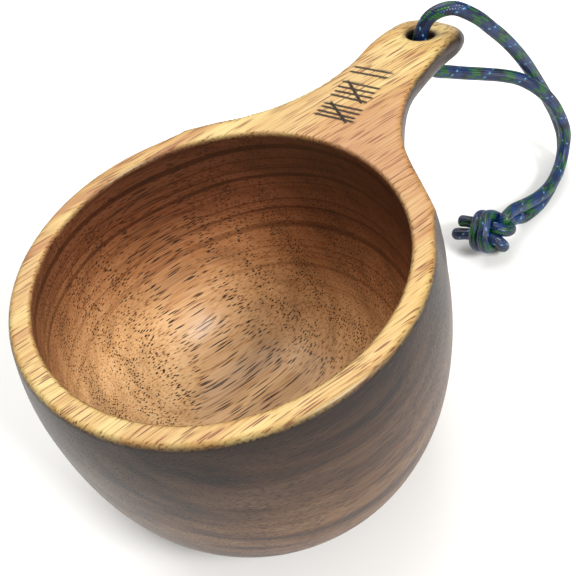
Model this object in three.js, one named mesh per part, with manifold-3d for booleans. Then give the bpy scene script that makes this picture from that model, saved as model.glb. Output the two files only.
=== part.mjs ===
// A kuksa: a wooden drinking cup whose bowl and handle are carved from one block, with a cord
// lanyard through the handle. Millimetres, +Z up. The origin is the centre of the flat foot, and
// the handle points along +X. The cup stands on its foot, and the lanyard hangs from the handle's
// hole and lies on the same surface.

import * as THREE from "three";
import { mergeVertices } from "three/addons/utils/BufferGeometryUtils.js";
import Module from "manifold-3d";

const wasm = await Module();
wasm.setup();

// Bowl, outside
const CUP_HEIGHT = 69;
const FOOT_RADIUS = 26;
const BELLY_RADIUS = 49.2;
const BELLY_HEIGHT = 51;
const RIM_RADIUS = 46.9;
const RIM_OUTER_ROUND = 1.2;
const OUTSIDE_FULLNESS = 2.18;

// Bowl, inside
const MOUTH_RADIUS = 41.9;
const RIM_INNER_ROUND = 1.8;
const HOLLOW_RADIUS = 43.2;
const HOLLOW_WIDEST_HEIGHT = 52;
const HOLLOW_FLOOR_HEIGHT = 9;
const HOLLOW_FLOOR_RADIUS = 10;
const INSIDE_FULLNESS = 2.1;
const BOWL_SEGMENTS = 64;

// Handle
const HANDLE_ROOT_X = 34;
const ROOT_END_LENGTH = 3;
const HANDLE_TIP_X = 103;
const HANDLE_CREST = CUP_HEIGHT - 0.2;
const HANDLE_HALF_WIDTH = 9.9;
const ROOT_FLARE = 14;
const ROOT_FLARE_END_X = 74;
const ROOT_FLARE_LENGTH = 30;
const HANDLE_UNDERSIDE = 59.5;
const UNDERSIDE_ROOT_DROP = 12;
const UNDERSIDE_ROOT_END_X = 70;
const UNDERSIDE_ROOT_LENGTH = 26;
const TIP_ROUND_LENGTH = 11;
const TIP_SQUARENESS = 2.7;
const SECTION_SQUARENESS = 2.7;
const ROOT_SQUARENESS = 6.7;
const SQUARER_FROM_X = 74;
const SQUAREST_X = 50;
const TIP_DROOP = 5;
const DROOP_START_X = 78;
const HOLE_X = 90.5;
const HOLE_RADIUS = 3.3;

// Lanyard
const CORD_DIAMETER = 3.6;
const CORD_SIDES = 8;
const STRAND_STEPS = 26;

function solidOf(geometry) {
  const bare = geometry.clone();
  bare.deleteAttribute("normal");
  bare.deleteAttribute("uv");
  const merged = mergeVertices(bare, 1e-4);
  return new wasm.Manifold(
    new wasm.Mesh({
      numProp: 3,
      vertProperties: new Float32Array(merged.attributes.position.array),
      triVerts: new Uint32Array(merged.index.array),
    }),
  );
}

function geometryOf(solid) {
  const mesh = solid.getMesh();
  const geometry = new THREE.BufferGeometry();
  const positions = new Float32Array(mesh.numVert * 3);
  for (let i = 0; i < mesh.numVert; i++) {
    positions.set(mesh.vertProperties.subarray(i * mesh.numProp, i * mesh.numProp + 3), i * 3);
  }
  geometry.setAttribute("position", new THREE.BufferAttribute(positions, 3));
  geometry.setIndex(new THREE.BufferAttribute(new Uint32Array(mesh.triVerts), 1));
  geometry.computeVertexNormals();
  return geometry;
}

// A profile of (radius, height) points turned about +Z. It runs from the axis at the bottom to
// the axis at the top.
function turned(profile) {
  const lathe = new THREE.LatheGeometry(profile, BOWL_SEGMENTS);
  lathe.rotateX(Math.PI / 2);
  return solidOf(lathe);
}

// Quarter of a superellipse from (innerRadius, lowHeight) up to (outerRadius, highHeight).
function bulge(innerRadius, lowHeight, outerRadius, highHeight, fullness, steps) {
  const points = [];
  for (let i = 0; i <= steps; i++) {
    const angle = (Math.PI / 2) * (1 - i / steps);
    points.push(
      new THREE.Vector2(
        innerRadius + (outerRadius - innerRadius) * Math.max(0, Math.cos(angle)) ** (2 / fullness),
        highHeight - (highHeight - lowHeight) * Math.max(0, Math.sin(angle)) ** (2 / fullness),
      ),
    );
  }
  return points;
}

// Quarter circle about (centreRadius, centreHeight) between two angles, both ends included.
function arc(centreRadius, centreHeight, radius, from, to, steps) {
  const points = [];
  for (let i = 0; i <= steps; i++) {
    const angle = from + ((to - from) * i) / steps;
    points.push(
      new THREE.Vector2(centreRadius + radius * Math.cos(angle), centreHeight + radius * Math.sin(angle)),
    );
  }
  return points;
}

function bowlOutside() {
  const round = RIM_OUTER_ROUND;
  return turned([
    new THREE.Vector2(0, 0),
    ...bulge(FOOT_RADIUS, 0, BELLY_RADIUS, BELLY_HEIGHT, OUTSIDE_FULLNESS, 14),
    new THREE.Vector2(BELLY_RADIUS - 0.6, BELLY_HEIGHT + 9),
    ...arc(RIM_RADIUS - round, CUP_HEIGHT - round, round, 0, Math.PI / 2, 3),
    new THREE.Vector2(0, CUP_HEIGHT),
  ]);
}

function bowlHollow() {
  const round = RIM_INNER_ROUND;
  return turned([
    new THREE.Vector2(0, HOLLOW_FLOOR_HEIGHT),
    ...bulge(
      HOLLOW_FLOOR_RADIUS,
      HOLLOW_FLOOR_HEIGHT,
      HOLLOW_RADIUS,
      HOLLOW_WIDEST_HEIGHT,
      INSIDE_FULLNESS,
      13,
    ),
    ...arc(MOUTH_RADIUS + round, CUP_HEIGHT - round, round, Math.PI, Math.PI / 2, 3),
    new THREE.Vector2(MOUTH_RADIUS + round, CUP_HEIGHT + 5),
    new THREE.Vector2(0, CUP_HEIGHT + 5),
  ]);
}

// How far a point at x is round the handle's tip: 1 before the rounding, 0 at the very end.
function tipShrink(x) {
  const along = Math.max(0, (x - (HANDLE_TIP_X - TIP_ROUND_LENGTH)) / TIP_ROUND_LENGTH);
  return Math.max(0, 1 - along ** TIP_SQUARENESS) ** (1 / TIP_SQUARENESS);
}

function handleHalfWidth(x) {
  const flare = Math.max(0, (ROOT_FLARE_END_X - x) / ROOT_FLARE_LENGTH);
  return (HANDLE_HALF_WIDTH + ROOT_FLARE * flare ** 2) * tipShrink(x);
}

function handleUnderside(x) {
  const root = Math.max(0, (UNDERSIDE_ROOT_END_X - x) / UNDERSIDE_ROOT_LENGTH);
  return HANDLE_UNDERSIDE - UNDERSIDE_ROOT_DROP * root ** 2;
}

// One coordinate of a superellipse. Rounding error near zero is cleared, because the root of a tiny
// number isn't tiny, and the seam would stand open.
function squared(value, squareness) {
  return Math.abs(value) < 1e-5 ? 0 : Math.sign(value) * Math.abs(value) ** (2 / squareness);
}

// The handle is one rounded bar: across, each section is a superellipse between the top and the
// underside, squarer at the root, where the top runs level into the rim.
function handleBar() {
  const bar = new THREE.SphereGeometry(1, 36, 30);
  const position = bar.attributes.position;
  for (let i = 0; i < position.count; i++) {
    const axial = THREE.MathUtils.clamp(position.getY(i), -1, 1);
    const around = Math.atan2(position.getZ(i), -position.getX(i));
    const x = HANDLE_ROOT_X + ((HANDLE_TIP_X - HANDLE_ROOT_X) * (1 + axial)) / 2;
    const rootShrink = Math.min(1, (x - HANDLE_ROOT_X) / ROOT_END_LENGTH) ** 0.5;
    const pole = Math.abs(axial) > 0.99999 ? 0 : rootShrink;
    const towardRoot = THREE.MathUtils.clamp((SQUARER_FROM_X - x) / (SQUARER_FROM_X - SQUAREST_X), 0, 1);
    const squareness = THREE.MathUtils.lerp(SECTION_SQUARENESS, ROOT_SQUARENESS, towardRoot);
    const low = handleUnderside(x);
    const middle = (HANDLE_CREST + low) / 2;
    const halfThickness = ((HANDLE_CREST - low) / 2) * tipShrink(x) * pole;
    const droop = TIP_DROOP * Math.max(0, (x - DROOP_START_X) / (HANDLE_TIP_X - DROOP_START_X)) ** 2;
    position.setXYZ(
      i,
      x,
      handleHalfWidth(x) * pole * squared(Math.cos(around), squareness),
      middle - droop + halfThickness * squared(Math.sin(around), squareness),
    );
  }
  return solidOf(bar);
}

function lanyardHole() {
  const hole = new THREE.CylinderGeometry(HOLE_RADIUS, HOLE_RADIUS, 40, 20);
  hole.rotateX(Math.PI / 2);
  hole.translate(HOLE_X, 0, CUP_HEIGHT - 10);
  return solidOf(hole);
}

function cup() {
  const block = bowlOutside().add(handleBar());
  return geometryOf(block.subtract(bowlHollow()).subtract(lanyardHole()));
}

// The upper strand leaves the hole upwards, turns over beside the tip, comes down to the surface
// that the cup stands on and runs back along it to the knot.
const UPPER_STRAND = [
  [89.7, 0.3, 63.2],
  [90, 0, 66.4],
  [90.8, -0.8, 69.3],
  [92.1, -2.2, 71.7],
  [93.8, -4.3, 73],
  [95.7, -6.6, 73.1],
  [97.5, -8.7, 71.9],
  [99.3, -10.4, 70],
  [100.9, -11.7, 67.8],
  [104.3, -13.6, 63.1],
  [107.8, -15, 58.4],
  [111.2, -16, 53.6],
  [114.5, -16.9, 48.6],
  [117.6, -17.7, 43.5],
  [120.5, -18.4, 38.3],
  [123.4, -19, 33.1],
  [126.2, -19.7, 27.8],
  [128.7, -20.5, 22.4],
  [130.9, -21.5, 16.9],
  [131.6, -22.1, 14],
  [131.9, -22.9, 11.1],
  [131.6, -23.8, 8.3],
  [130.5, -24.6, 5.7],
  [128.5, -25.4, 3.6],
  [125.8, -26.1, 2.5],
  [122.9, -26.6, 1.9],
  [119.9, -27, 1.8],
  [113.9, -27.8, 1.8],
  [107.9, -27.9, 1.9],
  [102, -27.1, 2],
  [96.8, -25.6, 3.3],
  [90.4, -25.2, 4.8],
];

// The lower strand leaves the same hole downwards, follows the upper one down and lies along the
// top of it, then rises a little to the knot.
const LOWER_STRAND = [
  [89.7, 0.3, 62.8],
  [90, 0.1, 59.8],
  [91, -0.5, 57.1],
  [92.6, -1.4, 54.8],
  [94.8, -2.6, 53],
  [97.1, -3.8, 51.6],
  [101.6, -6.4, 48.7],
  [106, -9.5, 46.1],
  [110.1, -13.2, 43.7],
  [113.8, -17, 40.9],
  [116.7, -20.5, 37.1],
  [119.6, -22.9, 32.4],
  [122.2, -24.5, 27.3],
  [124.4, -25.6, 21.8],
  [125.3, -26.1, 19],
  [125.9, -26.6, 16.1],
  [126.1, -26.9, 13.2],
  [125.6, -27, 10.2],
  [124.2, -27.2, 7.6],
  [122, -27.6, 5.7],
  [119.2, -28.2, 5.3],
  [113.2, -28.8, 5.3],
  [107.3, -28.4, 5.7],
  [101.5, -27.2, 6.8],
  [98.8, -26.5, 7.7],
  [90.9, -25.2, 11.2],
];

function path(points) {
  return new THREE.CatmullRomCurve3(
    points.map(([x, y, z]) => new THREE.Vector3(x, y, z)),
    false,
    "centripetal",
  );
}

function cordSection() {
  const outline = [];
  for (let i = 0; i < CORD_SIDES; i++) {
    const angle = (2 * Math.PI * (i + 0.5)) / CORD_SIDES;
    outline.push(
      new THREE.Vector2((CORD_DIAMETER / 2) * Math.cos(angle), (CORD_DIAMETER / 2) * Math.sin(angle)),
    );
  }
  return new THREE.Shape(outline);
}

function cordAlong(points, steps) {
  return geometryOf(
    solidOf(
      new THREE.ExtrudeGeometry(cordSection(), { steps, bevelEnabled: false, extrudePath: path(points) }),
    ),
  );
}

// Both strands are tied together in one overhand knot, and its outer shape is a rounded lump.
const KNOT_CENTRE = [83.9, -22, 7.4];
const KNOT_HALF_SIZE = [6.9, 6.7, 7.2];
const KNOT_TURN = (-38 * Math.PI) / 180;

function knot() {
  const lump = new THREE.SphereGeometry(1, 16, 12);
  lump.scale(...KNOT_HALF_SIZE);
  lump.rotateZ(KNOT_TURN);
  lump.translate(...KNOT_CENTRE);
  return geometryOf(solidOf(lump));
}

// Two short cut ends stand out of the knot side by side.
const TAIL_ENDS = [
  [
    [84.2, -14.7, 8.6],
    [83.9, -11.8, 8.3],
  ],
  [
    [81.6, -15, 6],
    [81.5, -11.2, 4.7],
  ],
];

const WOOD = { color: 0xc39a62, roughness: 0.5, metalness: 0 };
const CORD = { color: 0x1f3a6e, roughness: 0.75, metalness: 0 };

function named(name, geometry, finish) {
  const mesh = new THREE.Mesh(geometry, new THREE.MeshStandardMaterial(finish));
  mesh.name = name;
  return mesh;
}

const kuksa = new THREE.Group();
kuksa.add(named("cup", cup(), WOOD));

const lanyard = new THREE.Group();
lanyard.add(named("cord_upper_strand", cordAlong(UPPER_STRAND, STRAND_STEPS), CORD));
lanyard.add(named("cord_lower_strand", cordAlong(LOWER_STRAND, STRAND_STEPS), CORD));
lanyard.add(named("cord_knot", knot(), CORD));
TAIL_ENDS.forEach((ends, i) => {
  lanyard.add(named(`cord_tail_${"ab"[i]}`, cordAlong(ends, 1), CORD));
});
kuksa.add(lanyard);

export default kuksa;
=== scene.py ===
"""A carved wooden kuksa with a knotted cord lanyard: the cord comes first, then the cup with its
tally strokes, then the table top and the light it stands in."""

import math

import bmesh
import bpy
import numpy as np
from mathutils import Matrix, Vector


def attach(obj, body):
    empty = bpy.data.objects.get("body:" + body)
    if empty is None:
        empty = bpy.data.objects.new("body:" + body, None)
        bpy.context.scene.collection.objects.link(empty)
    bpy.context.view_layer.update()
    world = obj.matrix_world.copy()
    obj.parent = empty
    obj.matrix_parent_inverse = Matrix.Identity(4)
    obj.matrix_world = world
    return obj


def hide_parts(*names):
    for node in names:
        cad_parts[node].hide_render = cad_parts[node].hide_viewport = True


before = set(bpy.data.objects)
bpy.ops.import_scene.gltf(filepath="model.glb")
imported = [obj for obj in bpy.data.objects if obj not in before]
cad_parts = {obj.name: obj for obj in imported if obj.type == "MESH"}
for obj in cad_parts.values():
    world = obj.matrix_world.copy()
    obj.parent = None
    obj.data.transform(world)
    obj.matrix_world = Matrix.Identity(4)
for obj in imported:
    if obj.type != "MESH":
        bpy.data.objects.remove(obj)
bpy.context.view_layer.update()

# ---------------------------------------------------------------------------------------------
# Camera. It looks down into the bowl from the side away from the handle, tilted so that the handle
# runs up towards the top right corner.
CAMERA_PLACE = (-0.08749, -0.10999, 0.20449)
CAMERA_RIGHT = (0.5550, -0.8109, -0.1855)
CAMERA_UP = (0.6853, 0.3193, 0.6545)
CAMERA_AHEAD = (0.4715, 0.4904, -0.7329)

camera_data = bpy.data.cameras.new("camera")
camera_data.sensor_width = 36
camera_data.lens = 56.25
camera = bpy.data.objects.new("camera", camera_data)
camera.matrix_world = Matrix(
    [
        (CAMERA_RIGHT[i], CAMERA_UP[i], -CAMERA_AHEAD[i], CAMERA_PLACE[i])
        for i in range(3)
    ]
    + [(0, 0, 0, 1)]
)
bpy.context.scene.collection.objects.link(camera)
bpy.context.scene.camera = camera

# ---------------------------------------------------------------------------------------------
# Lanyard cord: one length of nylon accessory cord, a braided sheath over core yarns. It goes
# through the handle's hole, and both halves are tied together in one overhand knot. Each half is
# a piece from the middle of the hole to its own cut end.
CORD_DIAMETER = 0.0036
KNOT_CENTRE = (0.0840, -0.0219, 0.0076)
KNOT_REACH = 0.0075  # inside this the cord is squeezed by the tightened knot
SQUEEZED_SHARE = 0.92
SQUEEZE_FADE = 0.0025  # and over this distance it grows back to its full thickness
CARRIERS = 16  # yarns wound each way
# The pale blue yarn is a painted highlight, standing in for glints on the braid.
GREEN_YARNS, PAINTED_GLINT_YARNS = (1, 2, 3, 4, 17, 18, 19, 20), (9,)
BRAID_ANGLE = math.radians(44)
YARN_RELIEF = 0.00026
FLOAT_HEIGHT, ARCH_HEIGHT = 0.55, 0.6  # shares of a yarn's height
GAP_FLOOR, CREST_RANGE, MEAN_CREST = 0.2, 0.95, 0.6
SEALED_LENGTH = 0.0012  # the end that was melted so that the sheath doesn't fray
SEALED_TIP, SEALED_FLATTENING = 0.45, 0.8
RINGS_APART = 0.00018
RING_POINTS = 80

# Route of each half, in metres, with a point about every 6 mm, and every 3 mm in the bends.
UPPER_HALF = [
    (0.0897, 0.0003, 0.0632), (0.0900, 0.0000, 0.0664), (0.0908, -0.0008, 0.0693),
    (0.0921, -0.0022, 0.0717), (0.0938, -0.0043, 0.0730), (0.0957, -0.0066, 0.0731),
    (0.0975, -0.0087, 0.0719), (0.1009, -0.0117, 0.0679), (0.1043, -0.0136, 0.0631),
    (0.1078, -0.0150, 0.0584), (0.1112, -0.0160, 0.0536), (0.1145, -0.0169, 0.0486),
    (0.1176, -0.0177, 0.0435), (0.1205, -0.0184, 0.0383), (0.1234, -0.0190, 0.0331),
    (0.1262, -0.0197, 0.0278), (0.1287, -0.0205, 0.0224), (0.1309, -0.0215, 0.0169),
    (0.1319, -0.0229, 0.0111), (0.1316, -0.0238, 0.0083), (0.1304, -0.0246, 0.0059),
    (0.1285, -0.0254, 0.0038), (0.1258, -0.0261, 0.0024), (0.1229, -0.0266, 0.0019),
    (0.1169, -0.0274, 0.0018), (0.1109, -0.0279, 0.0019), (0.1049, -0.0277, 0.0019),
    (0.0992, -0.0263, 0.0022), (0.0968, -0.0256, 0.0033), (0.0947, -0.0252, 0.0049),
    (0.0921, -0.0244, 0.0054), (0.0893, -0.0232, 0.0046), (0.0863, -0.0220, 0.0053),
    (0.0837, -0.0207, 0.0042), (0.0805, -0.0204, 0.0043), (0.0785, -0.0198, 0.0069),
    (0.0794, -0.0192, 0.0098), (0.0823, -0.0186, 0.0112), (0.0855, -0.0180, 0.0112),
    (0.0878, -0.0183, 0.0091), (0.0882, -0.0187, 0.0058), (0.0875, -0.0200, 0.0029),
    (0.0860, -0.0226, 0.0018), (0.0842, -0.0252, 0.0028), (0.0826, -0.0268, 0.0049),
    (0.0813, -0.0257, 0.0077), (0.0810, -0.0228, 0.0085), (0.0817, -0.0197, 0.0074),
    (0.0815, -0.0165, 0.0067), (0.0814, -0.0135, 0.0057), (0.0815, -0.0111, 0.0046),
]
LOWER_HALF = [
    (0.0897, 0.0003, 0.0628), (0.0900, 0.0001, 0.0598), (0.0910, -0.0005, 0.0571),
    (0.0926, -0.0014, 0.0548), (0.0948, -0.0026, 0.0530), (0.0971, -0.0038, 0.0516),
    (0.1016, -0.0064, 0.0487), (0.1060, -0.0095, 0.0461), (0.1101, -0.0132, 0.0437),
    (0.1138, -0.0170, 0.0409), (0.1167, -0.0205, 0.0371), (0.1196, -0.0229, 0.0324),
    (0.1222, -0.0245, 0.0273), (0.1244, -0.0256, 0.0218), (0.1253, -0.0261, 0.0190),
    (0.1259, -0.0266, 0.0161), (0.1261, -0.0269, 0.0129), (0.1256, -0.0270, 0.0100),
    (0.1240, -0.0273, 0.0075), (0.1217, -0.0277, 0.0060), (0.1190, -0.0282, 0.0054),
    (0.1162, -0.0286, 0.0053), (0.1102, -0.0287, 0.0054), (0.1044, -0.0279, 0.0062),
    (0.0988, -0.0265, 0.0077), (0.0938, -0.0257, 0.0101), (0.0909, -0.0253, 0.0111),
    (0.0877, -0.0248, 0.0110), (0.0858, -0.0240, 0.0086), (0.0836, -0.0239, 0.0062),
    (0.0806, -0.0234, 0.0053), (0.0781, -0.0230, 0.0073), (0.0783, -0.0223, 0.0103),
    (0.0808, -0.0217, 0.0123), (0.0838, -0.0209, 0.0134), (0.0865, -0.0211, 0.0118),
    (0.0886, -0.0219, 0.0094), (0.0888, -0.0245, 0.0079), (0.0869, -0.0270, 0.0081),
    (0.0842, -0.0266, 0.0097), (0.0832, -0.0239, 0.0108), (0.0842, -0.0211, 0.0096),
    (0.0846, -0.0184, 0.0086), (0.0842, -0.0151, 0.0089), (0.0839, -0.0118, 0.0084),
]


def smooth_route(points, apart):
    """Catmull-Rom curve through the points, walked at an even distance."""
    p = np.asarray(points, float)
    p = np.vstack([2 * p[0] - p[1], p, 2 * p[-1] - p[-2]])
    t = np.linspace(0, len(p) - 3, 24 * (len(p) - 3) + 1)
    i = np.minimum(t.astype(int), len(p) - 4)
    w = (t - i)[:, None]
    a, b, c, d = p[i], p[i + 1], p[i + 2], p[i + 3]
    curve = b + 0.5 * w * (c - a + w * (2 * a - 5 * b + 4 * c - d + w * (3 * (b - c) + d - a)))
    run = np.append(0, np.cumsum(np.linalg.norm(np.diff(curve, axis=0), axis=1)))
    even = np.linspace(0, run[-1], int(round(run[-1] / apart)) + 1)
    return np.stack([np.interp(even, run, curve[:, k]) for k in range(3)], 1), even


def untwisted_sides(line):
    """A side direction for each point of the line, carried along it without twist: each one is the
    last one with its part along the new direction taken away."""
    ahead = np.gradient(line, axis=0)
    ahead /= np.linalg.norm(ahead, axis=1)[:, None]
    side = np.zeros_like(line)
    last = np.cross(ahead[0], (0.3, 0.9, 0.2))
    for i, direction in enumerate(ahead):
        last = last - direction * (last @ direction)
        last = last / np.linalg.norm(last)
        side[i] = last
    return side, np.cross(ahead, side)


def grid_faces(rows, columns):
    """Quads of a grid that closes on itself across its columns, with a fan to a last point at
    either end: point rows*columns before the first row and the next one after the last."""
    r, c = np.meshgrid(np.arange(rows - 1), np.arange(columns), indexing="ij")
    n = (c + 1) % columns
    here, above = r * columns, (r + 1) * columns
    quads = np.stack([here + c, here + n, above + n, above + c], -1)
    c = np.arange(columns)
    n = (c + 1) % columns
    first = np.stack([np.full(columns, rows * columns), n, c], -1)
    end = (rows - 1) * columns
    last = np.stack([np.full(columns, rows * columns + 1), end + c, end + n], -1)
    return quads.reshape(-1, 4).tolist() + first.tolist() + last.tolist()


def new_piece(name, points, faces, material):
    """A smooth-shaded mesh object at the origin, with its place in its mesh."""
    mesh = bpy.data.meshes.new(name)
    mesh.from_pydata(np.asarray(points).tolist(), [], faces)
    mesh.polygons.foreach_set("use_smooth", np.ones(len(mesh.polygons), bool))
    mesh.materials.append(material)
    mesh.update()
    piece = bpy.data.objects.new(name, mesh)
    bpy.context.scene.collection.objects.link(piece)
    return piece


def arch(across):
    """Height of a yarn's round back: half an ellipse over each unit of the distance across."""
    return np.sqrt(np.clip(1 - (2 * (across % 1) - 1) ** 2, 0, 1))


def braided_half(name, route, material):
    """Sheath along the route. Sixteen yarns wind each way, and each passes over two and under two
    of the others. Around the cord, a point's height is the higher of the two yarns there: each is
    an arch across its width plus a sine along its float, so that it dives under its neighbours."""
    line, run = smooth_route(route, RINGS_APART)
    side, other = untwisted_sides(line)
    u = np.arange(RING_POINTS)[None, :] / RING_POINTS
    per_yarn = math.pi * CORD_DIAMETER / (CARRIERS * math.tan(BRAID_ANGLE))
    one = CARRIERS * u + run[:, None] / per_yarn
    two = CARRIERS * u - run[:, None] / per_yarn
    i, j = np.floor(one), np.floor(two)
    float_one = np.sin(np.pi / 2 * ((two + i) % 4))
    float_two = -np.sin(np.pi / 2 * ((one + j) % 4))
    high_one = FLOAT_HEIGHT * float_one + ARCH_HEIGHT * arch(one)
    high_two = FLOAT_HEIGHT * float_two + ARCH_HEIGHT * arch(two)
    crest = np.clip((np.maximum(high_one, high_two) - GAP_FLOOR) / CREST_RANGE, 0, 1)
    yarn = np.where(high_one > high_two, i % CARRIERS, CARRIERS + j % CARRIERS)

    from_knot = np.linalg.norm(line - KNOT_CENTRE, axis=1)
    free = np.clip((from_knot - KNOT_REACH) / SQUEEZE_FADE, 0, 1)
    radius = CORD_DIAMETER / 2 * (SQUEEZED_SHARE + (1 - SQUEEZED_SHARE) * free**2 * (3 - 2 * free))
    left = np.clip((run[-1] - run) / SEALED_LENGTH, 0, 1)
    melted = 1 - np.clip((run[-1] - run) / (1.5 * SEALED_LENGTH), 0, 1)
    radius = radius * (SEALED_TIP + (1 - SEALED_TIP) * np.sqrt(1 - (1 - left) ** 2))
    lift = (crest - MEAN_CREST) * YARN_RELIEF * (1 - SEALED_FLATTENING * melted[:, None])
    angle = 2 * math.pi * u
    around = np.cos(angle)[..., None] * side[:, None] + np.sin(angle)[..., None] * other[:, None]
    points = line[:, None] + around * (radius[:, None] + lift)[..., None]
    tip = line[-1:] + (line[-1:] - line[-2:-1]) * 1.2
    points = np.vstack([points.reshape(-1, 3), line[:1], tip])

    piece = new_piece(name, points, grid_faces(len(line), RING_POINTS), material)
    for attribute, values in (
        ("sheath_crest", crest),
        ("sheath_green", np.isin(yarn, GREEN_YARNS)),
        ("sheath_painted_glint", np.isin(yarn, PAINTED_GLINT_YARNS)),
        ("sheath_melted", np.broadcast_to(melted[:, None], crest.shape)),
    ):
        flat = np.append(values.astype(np.float32).ravel(), [0, 0]).astype(np.float32)
        piece.data.attributes.new(attribute, "FLOAT", "POINT").data.foreach_set("value", flat)
    return piece, line, run[-1]


def linear(colour):
    """Linear RGBA of an sRGB hex value."""
    parts = [int(colour[i : i + 2], 16) / 255 for i in (1, 3, 5)]
    return [c / 12.92 if c <= 0.04045 else ((c + 0.055) / 1.055) ** 2.4 for c in parts] + [1]


def put(tree, kind, sockets=(), stops=(), **settings):
    """Add a node: its settings by name, its sockets' values or links, and a ramp's colour stops."""
    node = tree.nodes.new("ShaderNode" + kind)
    for name, value in settings.items():
        setattr(node, name, value)
    for socket, value in dict(sockets).items():
        if isinstance(value, bpy.types.NodeSocket):
            tree.links.new(value, node.inputs[socket])
        else:
            node.inputs[socket].default_value = value
    for i, (place, colour) in enumerate(stops):
        stop = node.color_ramp.elements[i] if i < 2 else node.color_ramp.elements.new(place)
        stop.position = place
        stop.color = linear(colour) if isinstance(colour, str) else (colour, colour, colour, 1)
    return node


def new_material(name):
    """A material with an empty node tree, and that tree."""
    material = bpy.data.materials.new(name)
    material.use_nodes = True
    material.node_tree.nodes.clear()
    return material, material.node_tree


# Nylon filament yarn: dyed navy and green, each filament slightly glossy, so that the crests of
# the yarns catch the light. The gaps between them are painted nearly black as painted shade.
NAVY_YARN, NAVY_LIT, GREEN_YARN, PAINTED_GLINT_YARN = "#06122b", "#153f7c", "#1a5f26", "#5c93bd"
GAP_SHADE_BETWEEN_YARNS, MELTED_NYLON = "#080a12", "#12151c"
FILAMENT_GRAIN = 1 / 0.00025  # drawn a quarter of a millimetre wide, because real ones don't show
DYE_GRAIN = 260  # lighter and darker stretches of about 4 mm

sheath, tree = new_material("braided_nylon_sheath")
place = put(tree, "TexCoord").outputs["Object"]
crest = put(tree, "Attribute", attribute_name="sheath_crest").outputs["Fac"]
green = put(tree, "Attribute", attribute_name="sheath_green").outputs["Fac"]
pale = put(tree, "Attribute", attribute_name="sheath_painted_glint").outputs["Fac"]
melted = put(tree, "Attribute", attribute_name="sheath_melted").outputs["Fac"]
filaments = put(
    tree, "TexNoise", {"Vector": place, "Scale": FILAMENT_GRAIN, "Detail": 3}
).outputs["Fac"]
dye = put(tree, "TexNoise", {"Vector": place, "Scale": DYE_GRAIN, "Detail": 2}).outputs["Fac"]
navy = put(tree, "ValToRGB", {"Fac": dye}, [(0.35, NAVY_YARN), (0.7, NAVY_LIT)]).outputs["Color"]
with_green = put(tree, "Mix", {0: green, 6: navy, 7: linear(GREEN_YARN)}, data_type="RGBA").outputs[2]
# Painted highlight: one yarn coloured pale blue like a glint on the braid.
with_painted_glint = put(
    tree, "Mix", {0: pale, 6: with_green, 7: linear(PAINTED_GLINT_YARN)}, data_type="RGBA"
).outputs[2]
# Painted shade: the gaps between the yarns' crests are coloured nearly black.
gap_shade_fade = put(tree, "ValToRGB", {"Fac": crest}, [(0.3, 0.0), (0.85, 1.0)]).outputs["Color"]
sheath_colour_with_gap_shade = put(
    tree, "Mix", {0: gap_shade_fade, 6: linear(GAP_SHADE_BETWEEN_YARNS), 7: with_painted_glint}, data_type="RGBA"
).outputs[2]
end_colour = put(
    tree, "Mix", {0: melted, 6: sheath_colour_with_gap_shade, 7: linear(MELTED_NYLON)}, data_type="RGBA"
).outputs[2]
relief = put(tree, "Bump", {"Height": filaments, "Strength": 0.35, "Distance": 0.00006})
nylon = put(
    tree,
    "BsdfPrincipled",
    {
        "Base Color": end_colour,
        "Roughness": 0.28,
        "IOR": 1.53,
        "Specular IOR Level": 0.4,
        "Normal": relief.outputs["Normal"],
    },
)
put(tree, "OutputMaterial", {"Surface": nylon.outputs["BSDF"]})

upper_half, upper_line, upper_length = braided_half("lanyard_upper_half", UPPER_HALF, sheath)
lower_half, lower_line, lower_length = braided_half("lanyard_lower_half", LOWER_HALF, sheath)
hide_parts("cord_upper_strand", "cord_tail_b", "cord_knot")
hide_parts("cord_lower_strand", "cord_tail_a")
HOLE_TOP, HOLE_BOTTOM = (0.0905, 0, 0.0675), (0.0905, 0, 0.0575)
for half, line, length, mouth in (
    (upper_half, upper_line, upper_length, HOLE_TOP),
    (lower_half, lower_line, lower_length, HOLE_BOTTOM),
):
    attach(half, "lanyard")

# ---------------------------------------------------------------------------------------------
# Cup: bowl and handle turned and carved from one block, with the grain running along the handle
# at a slight slant. Sanded smooth and oiled, with every edge rounded by hand. Sizes in mm.
CUP_HEIGHT = 69.0
FOOT_RADIUS, BELLY_RADIUS, BELLY_HEIGHT, RIM_RADIUS = 26.0, 49.2, 51.0, 46.9
BELLY_FULLNESS, RIM_CLOSING_HEIGHT, RIM_CLOSING = 2.18, 18, 1.9
HOLLOW_FLOOR, HOLLOW_FLOOR_RADIUS, HOLLOW_RADIUS, HOLLOW_WIDEST = 9.0, 10.0, 43.2, 52.0
HOLLOW_FULLNESS, MOUTH_RADIUS, MOUTH_CLOSING_HEIGHT, MOUTH_CLOSING = 2.1, 41.9, 16, 1.8
HANDLE_START, HANDLE_HALF_WIDTH = 26.0, 9.9
ROOT_FLARE, ROOT_FLARE_END, ROOT_FLARE_LENGTH, FLARE_LIMIT = 12.4, 74.0, 30.0, 1.38
HANDLE_TIP, TIP_ROUND, TIP_SQUARENESS, TIP_DROOP, DROOP_START = 103.0, 11.0, 2.7, 5.0, 78.0
UNDERSIDE, UNDERSIDE_DROP, UNDERSIDE_DROP_LIMIT = 59.5, 12.0, 1.6
UNDERSIDE_ROOT_END, UNDERSIDE_ROOT_LENGTH, UNDERSIDE_ROUND, ROOT_FILLET = 70.0, 26.0, 8.5, 7.0
EDGE_ROUND, TIP_EDGE_ROUND, TIP_EDGE_LENGTH, KNIFE_MARKS = 1.3, 3.0, 20, 0.05
HOLE_X, HOLE_RADIUS, HOLE_WEAR = 90.5, 3.3, 2.6
CARVED_CELL, EVENING_ROUNDS, EVENING_SHARE = 0.85, 6, 0.6

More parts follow.
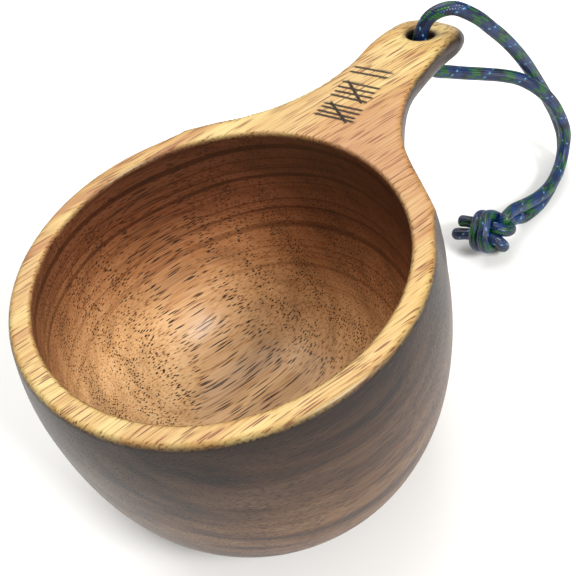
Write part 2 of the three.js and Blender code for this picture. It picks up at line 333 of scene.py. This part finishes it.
# Tally strokes branded into the handle's top: two crossed fours and two single strokes. Each group
# is the place of its first stroke along the handle, the distance between strokes and their number.
TALLY_GROUPS = ((50.1, 1.55, 4), (57.9, 1.93, 4), (68.2, 2.0, 2))
STROKE_TOP, STROKE_FOOT, STROKE_LEAN = 7.3, -3.8, 0.5
ROW_SLANT, HAND_SLIP = 0.05, 0.2
STROKE_WIDTH, STROKE_DEPTH, BRANDED_CUTS = 0.7, 0.45, 4


def bulge(r, z, core, widest, low, high, fullness):
    """Distance, to first order, from a bowl whose side is a quarter superellipse between its flat
    bottom and its widest height, and that runs straight up above that."""
    a = np.maximum(r - core, 0) / (widest - core)
    b = np.maximum(high - z, 0) / (high - low)
    s = np.maximum((a**fullness + b**fullness) ** (1 / fullness), 1e-3)
    out, down = (a / s) ** (fullness - 1), (b / s) ** (fullness - 1)
    slope = np.hypot(out / (widest - core), down / (high - low))
    return (s - 1) / np.maximum(slope, 0.5 / (widest - core))


def blended_max(a, b, reach):
    """The larger of two distances, rounded where they meet within the reach."""
    return np.maximum(a, b) + np.maximum(reach - np.abs(a - b), 0) ** 2 / (4 * reach)


def cup_parts(p):
    """Distances in mm, negative in the wood, from the block's outside, where the bowl and the
    flared, waisted handle melt together, from its level top, and from the hollow."""
    x, y, z = p.T
    r = np.hypot(x, y)
    bowl = bulge(r, z, FOOT_RADIUS, BELLY_RADIUS, 0, BELLY_HEIGHT, BELLY_FULLNESS)
    closing = np.clip((z - BELLY_HEIGHT) / RIM_CLOSING_HEIGHT, 0, 1.2) ** RIM_CLOSING
    bowl = bowl + (BELLY_RADIUS - RIM_RADIUS) * closing
    flare = np.maximum(ROOT_FLARE_END - x, 0) / ROOT_FLARE_LENGTH
    half_width = HANDLE_HALF_WIDTH + ROOT_FLARE * np.minimum(flare, FLARE_LIMIT) ** 2
    tip = np.maximum(x - (HANDLE_TIP - TIP_ROUND), 0) / TIP_ROUND
    plan = ((np.abs(y) / half_width) ** TIP_SQUARENESS + tip**TIP_SQUARENESS) ** (1 / TIP_SQUARENESS)
    plan = (plan - 1) * np.where(tip > 0, HANDLE_HALF_WIDTH, half_width)
    droop = TIP_DROOP * (np.maximum(x - DROOP_START, 0) / (HANDLE_TIP - DROOP_START)) ** 2
    root = np.maximum(UNDERSIDE_ROOT_END - x, 0) / UNDERSIDE_ROOT_LENGTH
    under = UNDERSIDE - UNDERSIDE_DROP * np.minimum(root, UNDERSIDE_DROP_LIMIT) ** 2 - droop - z
    handle = np.maximum(blended_max(plan, under, UNDERSIDE_ROUND), HANDLE_START - x)
    block = -blended_max(-bowl, -handle, ROOT_FILLET)
    hollow = bulge(
        r, z, HOLLOW_FLOOR_RADIUS, HOLLOW_RADIUS, HOLLOW_FLOOR, HOLLOW_WIDEST, HOLLOW_FULLNESS
    )
    closing = np.clip((z - HOLLOW_WIDEST) / MOUTH_CLOSING_HEIGHT, 0, 2) ** MOUTH_CLOSING
    hollow = hollow + (HOLLOW_RADIUS - MOUTH_RADIUS) * closing
    return block, z - CUP_HEIGHT + droop, -hollow


def cup_field(p):
    """Distance from the cup's surface in mm: its three kinds of face, each edge rounded over, with
    the lanyard's hole drilled down through the handle and the knife's slight facets left on it."""
    x, y, z = p.T
    block, level, scooped = cup_parts(p)
    round_over = EDGE_ROUND + TIP_EDGE_ROUND * np.clip((x - DROOP_START) / TIP_EDGE_LENGTH, 0, 1)
    carved = blended_max(block, level, round_over)
    carved = blended_max(carved, scooped, EDGE_ROUND)
    carved = blended_max(carved, HOLE_RADIUS - np.hypot(x - HOLE_X, y), HOLE_WEAR)
    facets = np.sin(x / 5.1 + np.sin(y / 7.3)) * np.sin(y / 6.3 + 1.3) * np.sin(z / 5.7 + 0.4)
    return carved + KNIFE_MARKS * facets


def settle_on(points, field, rounds):
    """Move points along the field's steepest slope until it is zero: a Newton step each round."""
    step, gentlest_slope_squared, longest_move = 0.04, 0.2, 0.8
    for _ in range(rounds):
        here = field(points)
        rises = [field(points + step * axis) - field(points - step * axis) for axis in np.eye(3)]
        slope = np.stack([rise / (2 * step) for rise in rises], 1)
        steepness = np.maximum((slope**2).sum(1), gentlest_slope_squared)[:, None]
        move = -here[:, None] * slope / steepness
        points = points + np.clip(move, -longest_move, longest_move)
    return points


cup_mesh = bpy.data.objects["cup"].data.copy()
cup = bpy.data.objects.new("cup_wood", cup_mesh)
bpy.context.scene.collection.objects.link(cup)
cup_mesh.transform(Matrix.Scale(1000, 4))
cells = cup.modifiers.new("even_cells", "REMESH")
cells.mode = "VOXEL"
cells.voxel_size = CARVED_CELL
even = bpy.data.meshes.new_from_object(cup.evaluated_get(bpy.context.evaluated_depsgraph_get()))
cup.modifiers.clear()
cup.data = even
carved = np.empty(len(even.vertices) * 3)
even.vertices.foreach_get("co", carved)
carved = carved.reshape(-1, 3)
ends = np.empty(len(even.edges) * 2, int)
even.edges.foreach_get("vertices", ends)
ends = ends.reshape(-1, 2)
touching = np.bincount(ends.ravel(), minlength=len(carved))[:, None]
carved = settle_on(carved, cup_field, 8)
for _ in range(EVENING_ROUNDS):  # even out the cells along the surface, then settle them again
    total = np.zeros_like(carved)
    for k in range(3):
        total[:, k] = np.bincount(ends[:, 0], carved[ends[:, 1], k], len(carved))
        total[:, k] += np.bincount(ends[:, 1], carved[ends[:, 0], k], len(carved))
    evened = (1 - EVENING_SHARE) * carved + EVENING_SHARE * total / touching
    carved = settle_on(evened, cup_field, 2)
carved = settle_on(carved, cup_field, 3)

hand = np.random.default_rng(7)
strokes = []
for first, apart, count in TALLY_GROUPS:
    top, foot = STROKE_TOP + ROW_SLANT * (first - 50), STROKE_FOOT + ROW_SLANT * (first - 50)
    for i in range(count):
        x = first + i * apart
        slip = hand.uniform(-HAND_SLIP, HAND_SLIP, 4)
        strokes.append(np.array([x, top, x + STROKE_LEAN, foot]) + slip)
    if count == 4:  # the fifth stroke crosses the four
        strokes.append(np.array([first + 3 * apart + 0.9, top - 1.3, first - 0.4, foot + 1.4]))


def stroke_gap(p):
    """Distance in plan from the edge of the nearest tally stroke, in mm, negative on the stroke.
    The hot iron leaves a line of one width that comes to a point within that width of its end."""
    gap = np.full(len(p), 99.0)
    for ax, ay, bx, by in strokes:
        length = math.hypot(bx - ax, by - ay)
        along = ((p[:, 0] - ax) * (bx - ax) + (p[:, 1] - ay) * (by - ay)) / length
        aside = ((p[:, 0] - ax) * (by - ay) - (p[:, 1] - ay) * (bx - ax)) / length
        from_end = np.minimum(along, length - along)
        half = STROKE_WIDTH / 2 * np.sqrt(np.clip(from_end / STROKE_WIDTH, 0, 1))
        gap = np.minimum(gap, np.hypot(aside, np.minimum(from_end, 0)) - half)
    return gap


def branded_field(p):
    """The cup's field with the strokes burnt into its top as rounded grooves."""
    groove = STROKE_DEPTH * np.sin(np.pi / 2 * np.clip(-2 * stroke_gap(p) / STROKE_WIDTH, 0, 1))
    return cup_field(p) + groove * (cup_parts(p)[1] > -3)


near = (stroke_gap(carved) < STROKE_WIDTH) & (carved[:, 2] > CUP_HEIGHT - 2)
fine = bmesh.new()
even.vertices.foreach_set("co", carved.ravel())
fine.from_mesh(even)
fine.edges.ensure_lookup_table()
branded_edges = [fine.edges[i] for i in np.flatnonzero(near[ends].all(1))]
bmesh.ops.subdivide_edges(fine, edges=branded_edges, cuts=BRANDED_CUTS, use_grid_fill=True)
fine.to_mesh(even)
fine.free()
carved = np.empty(len(even.vertices) * 3)
even.vertices.foreach_get("co", carved)
carved = settle_on(carved.reshape(-1, 3), branded_field, 5)
even.vertices.foreach_set("co", (carved / 1000).ravel())
even.polygons.foreach_set("use_smooth", np.ones(len(even.polygons), bool))
even.update()
block, level, scooped = cup_parts(carved)
PALE_TOP_DEPTH, WALL_BLEND, SCORCH_WIDTH, SCORCH_SHARE = 0.9, 4, 0.25, 0.6
scorch = SCORCH_SHARE - stroke_gap(carved) / SCORCH_WIDTH
for attribute, values in (
    # Pale level top: partly the wood's own colour, partly painted light.
    ("pale_top_and_painted_light", np.clip(1 + level / PALE_TOP_DEPTH, 0, 1)),
    ("outside", np.clip(0.5 + (block - scooped) / WALL_BLEND, 0, 1)),
    ("charred", np.clip(scorch, 0, 1) * (level > -2)),
):
    shading = even.attributes.new(attribute, "FLOAT", "POINT")
    shading.data.foreach_set("value", values.astype(np.float32))

# Acacia: straw-coloured on the level top, dark brown on the outer wall, partly the wood's own colour
# and partly painted light, a painted lit top and painted shade on the wall. Open pores show everywhere
# as dark dashes along the grain and as dots across it, and the hollow's wall shows the growth layers.
PORE, PALE_PORE, CHARRED = "#2c1a10", "#80502f", "#1c120c"
GRAIN_SLANT = math.radians(20)
PITH_DEPTH = 0.25
HEARTWOOD_AND_SHADE_SLOPE = 0.3
LAYER_TILT = math.radians(38)
BLOCK_THICKNESS = 0.08

wood, tree = new_material("oiled_acacia")
place = put(tree, "TexCoord").outputs["Object"]
pale_top_and_painted_light = put(tree, "Attribute", attribute_name="pale_top_and_painted_light").outputs["Fac"]
outside = put(tree, "Attribute", attribute_name="outside").outputs["Fac"]
charred = put(tree, "Attribute", attribute_name="charred").outputs["Fac"]
grain = put(tree, "Mapping", {"Vector": place, "Rotation": (0, 0, GRAIN_SLANT)}).outputs["Vector"]
sway = put(tree, "TexNoise", {"Vector": grain, "Scale": 16, "Detail": 2}).outputs["Color"]
centred = put(tree, "VectorMath", {0: sway, 1: (0.5, 0.5, 0.5)}, operation="SUBTRACT").outputs[0]
swayed = put(
    tree, "VectorMath", {0: centred, 1: (0.0, 0.005, 0.007)}, operation="MULTIPLY"
).outputs[0]
grown = put(tree, "VectorMath", {0: grain, 1: swayed}, operation="ADD").outputs[0]
# Growth layers are nearly level shells round a pith far below the block.
from_pith = put(
    tree, "Mapping", {"Vector": grown, "Location": (0, 0, PITH_DEPTH), "Scale": (0.06, 1, 1)}
)
layer = put(tree, "VectorMath", {0: from_pith.outputs[0]}, operation="LENGTH").outputs["Value"]
height = put(tree, "Math", {0: layer, 1: PITH_DEPTH}, operation="SUBTRACT").outputs[0]
# Darker towards the handle: the heartwood comes down lower there, and the hollow's upper wall there is
# painted in shade.
along = put(tree, "SeparateXYZ", {"Vector": grown}).outputs["X"]
sloping = put(
    tree, "Math", {0: along, 1: HEARTWOOD_AND_SHADE_SLOPE, 2: height}, operation="MULTIPLY_ADD"
).outputs[0]
share = put(tree, "Math", {0: sloping, 1: 1 / BLOCK_THICKNESS}, operation="MULTIPLY").outputs[0]
outer_share = put(
    tree, "Math", {0: height, 1: 1 / BLOCK_THICKNESS}, operation="MULTIPLY"
).outputs[0]
# Hollow: light tan floor to dark reddish brown under the rim, partly heartwood and partly painted
# shade.
inner_wood_and_painted_shade = put(
    tree,
    "ValToRGB",
    {"Fac": share},
    [(0.1, "#ecc998"), (0.32, "#deb584"), (0.5, "#b3835b"), (0.68, "#7d5038"), (0.9, "#573426")],
).outputs["Color"]
# Outer wall: dark at the foot's edge and nearly black just under the rim, painted shade over the
# brown.
outer_wood_painted_shade = put(
    tree,
    "ValToRGB",
    {"Fac": outer_share},
    [(0.0, "#2e2219"), (0.2, "#806243"), (0.45, "#6e5236"), (0.7, "#4d3725"), (0.9, "#24160d")],
).outputs["Color"]
# Broad smoky streaks, some 3 mm thick, 12 mm wide and 70 mm long. They lie in the growth layers,
# which slope across the block.
long_grain = put(
    tree,
    "Mapping",
    {"Vector": grown, "Rotation": (LAYER_TILT, 0, 0), "Scale": (0.07, 0.012, 0.003)},
    vector_type="TEXTURE",
).outputs["Vector"]
streaks = put(tree, "TexNoise", {"Vector": long_grain, "Scale": 1, "Detail": 4}).outputs["Fac"]
pale_wood = put(
    tree, "ValToRGB", {"Fac": streaks}, [(0.3, "#a5764a"), (0.42, "#bf9d62"), (0.6, "#cbb579")]
).outputs["Color"]
# A redder blush that grows towards the handle's tip, in patches about 60 mm long.
blush_grain = put(tree, "Mapping", {"Vector": grown, "Scale": (16, 34, 34)}).outputs["Vector"]
blush = put(tree, "TexNoise", {"Vector": blush_grain, "Scale": 1, "Detail": 1}).outputs["Fac"]
redder = put(tree, "Math", {0: along, 1: 1.2, 2: blush}, operation="MULTIPLY_ADD").outputs[0]
blush_share = put(tree, "ValToRGB", {"Fac": redder}, [(0.45, 0.0), (0.7, 0.8)]).outputs["Color"]
top_wood = put(
    tree, "Mix", {0: blush_share, 6: pale_wood, 7: linear("#a56f4a")}, data_type="RGBA"
).outputs[2]
streak_shade = put(
    tree, "ValToRGB", {"Fac": streaks}, [(0.36, "#6e523c"), (0.48, "#cdb89f"), (0.64, "#ffffff")]
).outputs["Color"]
bands = put(
    tree, "TexNoise", {"W": layer, "Scale": 420, "Detail": 4, "Roughness": 0.65}, noise_dimensions="1D"
).outputs["Fac"]
band_shade = put(
    tree,
    "ValToRGB",
    {"Fac": bands},
    [(0.36, "#86675a"), (0.44, "#d9c2ab"), (0.52, "#ffffff"), (0.72, "#efdcc6")],
).outputs["Color"]
banding = put(tree, "ValToRGB", {"Fac": share}, [(0.25, 0.0), (0.65, 0.8)]).outputs["Color"]
banded = put(
    tree, "Mix", {0: banding, 6: inner_wood_and_painted_shade, 7: band_shade}, data_type="RGBA", blend_type="MULTIPLY"
).outputs[2]
# The outer wall's darker colour comes in here: painted shade.
oiled = put(tree, "Mix", {0: outside, 6: banded, 7: outer_wood_painted_shade}, data_type="RGBA").outputs[2]
streaking = put(tree, "ValToRGB", {"Fac": outside}, [(0.0, 0.35), (1.0, 0.95)]).outputs["Color"]
streaked = put(
    tree, "Mix", {0: streaking, 6: oiled, 7: streak_shade}, data_type="RGBA", blend_type="MULTIPLY"
).outputs[2]
# Painted light: the level top coloured pale, partly its own straw colour.
faced = put(tree, "Mix", {0: pale_top_and_painted_light, 6: streaked, 7: top_wood}, data_type="RGBA").outputs[2]
# Fibres, drawn half a millimetre wide because real ones are too fine to show.
fine_grain = put(tree, "Mapping", {"Vector": grown, "Scale": (60, 2300, 2300)}).outputs["Vector"]
fibres = put(tree, "TexNoise", {"Vector": fine_grain, "Scale": 1, "Detail": 2}).outputs["Fac"]
fibre_shade = put(
    tree, "ValToRGB", {"Fac": fibres}, [(0.32, "#946643"), (0.41, "#ecdcc4"), (0.6, "#ffffff")]
).outputs["Color"]
fibred = put(
    tree, "Mix", {0: 0.8, 6: faced, 7: fibre_shade}, data_type="RGBA", blend_type="MULTIPLY"
).outputs[2]
# Pores are cut vessels up to 6 mm long and a third of a millimetre wide. Each cell of the pattern
# may hold one, and they crowd together in patches about 40 mm long and 9 mm wide.
pore_grain = put(tree, "Mapping", {"Vector": grown, "Scale": (110, 1850, 1850)}).outputs["Vector"]
pores = put(tree, "TexVoronoi", {"Vector": pore_grain, "Scale": 1, "Randomness": 1})
open_pore = put(
    tree, "ValToRGB", {"Fac": pores.outputs["Distance"]}, [(0.26, 1.0), (0.40, 0.0)]
).outputs["Color"]
chance = put(tree, "SeparateColor", {"Color": pores.outputs["Color"]}).outputs[0]
crowd_grain = put(tree, "Mapping", {"Vector": grown, "Scale": (25, 110, 110)}).outputs["Vector"]
crowd = put(tree, "TexNoise", {"Vector": crowd_grain, "Scale": 1, "Detail": 1}).outputs["Fac"]
some = put(tree, "Math", {0: chance, 1: crowd}, operation="LESS_THAN").outputs[0]
pore_mask = put(tree, "Math", {0: open_pore, 1: some}, operation="MULTIPLY").outputs[0]
pore_colour = put(
    tree, "Mix", {0: pale_top_and_painted_light, 6: linear(PORE), 7: linear(PALE_PORE)}, data_type="RGBA"
).outputs[2]
with_pores = put(tree, "Mix", {0: pore_mask, 6: fibred, 7: pore_colour}, data_type="RGBA").outputs[2]
with_strokes = put(
    tree, "Mix", {0: charred, 6: with_pores, 7: linear(CHARRED)}, data_type="RGBA"
).outputs[2]
hollows = put(tree, "Math", {0: pore_mask, 1: -0.8, 2: fibres}, operation="MULTIPLY_ADD").outputs[0]
wood_relief = put(tree, "Bump", {"Height": hollows, "Strength": 0.4, "Distance": 0.00015})
gloss = put(tree, "ValToRGB", {"Fac": fibres}, [(0.2, 0.5), (0.8, 0.36)]).outputs["Color"]
timber = put(
    tree,
    "BsdfPrincipled",
    {
        "Base Color": with_strokes,
        "Roughness": gloss,
        "IOR": 1.5,
        "Specular IOR Level": 0.25,
        "Coat Weight": 0.15,
        "Coat Roughness": 0.2,
        "Normal": wood_relief.outputs["Normal"],
    },
)
put(tree, "OutputMaterial", {"Surface": timber.outputs["BSDF"]})
even.materials.clear()
even.materials.append(wood)

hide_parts("cup")
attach(cup, "cup")

# ---------------------------------------------------------------------------------------------
# Table top: a plain pale board under the cup, lit by a wide soft box overhead and a smaller one to
# one side.
TABLE_HALF_SIZE = 3.0
table_top, tree = new_material("matt_white_board")
paint = put(tree, "BsdfPrincipled", {"Base Color": linear("#f2f1ee"), "Roughness": 0.9})
put(tree, "OutputMaterial", {"Surface": paint.outputs["BSDF"]})
corners = TABLE_HALF_SIZE * np.array([(-1, -1, 0), (1, -1, 0), (1, 1, 0), (-1, 1, 0)])
board = new_piece("table_top", corners, [(0, 1, 2, 3)], table_top)

LIT_POINT = Vector((0, 0, 0.03))
for name, place, size, power in (
    ("overhead_box", (0.25, 0.35, 0.85), 0.9, 9),
    ("side_box", (-0.05, -0.72, 0.62), 0.28, 9),
):
    lamp_data = bpy.data.lights.new(name, "AREA")
    lamp_data.size = size
    lamp_data.energy = power
    lamp = bpy.data.objects.new(name, lamp_data)
    lamp.location = place
    lamp.rotation_euler = (LIT_POINT - Vector(place)).to_track_quat("-Z", "Y").to_euler()
    bpy.context.scene.collection.objects.link(lamp)

sky = bpy.data.worlds.new("soft_room")
sky.use_nodes = True
room_light = sky.node_tree.nodes["Background"]
room_light.inputs["Color"].default_value = (1, 1, 1, 1)
room_light.inputs["Strength"].default_value = 0.4
bpy.context.scene.world = sky
bpy.context.scene.view_settings.view_transform = "Standard"
